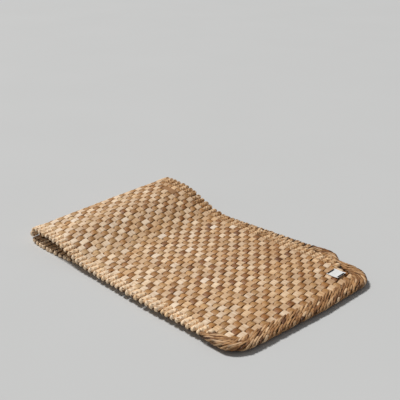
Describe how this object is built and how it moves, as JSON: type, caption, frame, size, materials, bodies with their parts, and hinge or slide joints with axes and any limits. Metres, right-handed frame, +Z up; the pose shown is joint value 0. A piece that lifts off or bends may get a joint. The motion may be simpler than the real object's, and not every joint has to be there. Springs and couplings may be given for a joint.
{
  "type": "woven table runner",
  "caption": "Flat table runner hand woven from dried plant stems in a checker weave, with twined side borders and plaited ends, lying folded over on itself.",
  "frame": {"origin": "centre of the underside's bounding box, on the surface that the runner lies on", "axes": "+X from the fold towards the two ends, +Y across the runner towards the corner with the label, +Z up"},
  "size_m": [0.564, 0.3855, 0.0507],
  "materials": {
    "straw": "dry satin plant stem, light and brown strips",
    "plait_straw": "dry satin plant stem, golden brown",
    "label_cloth": "matt woven tape"
  },
  "bodies": {
    "root": {"runner": "straw", "end_plait_top": "plait_straw", "end_plait_bottom": "plait_straw", "label": "label_cloth"}
  },
  "joints": []
}
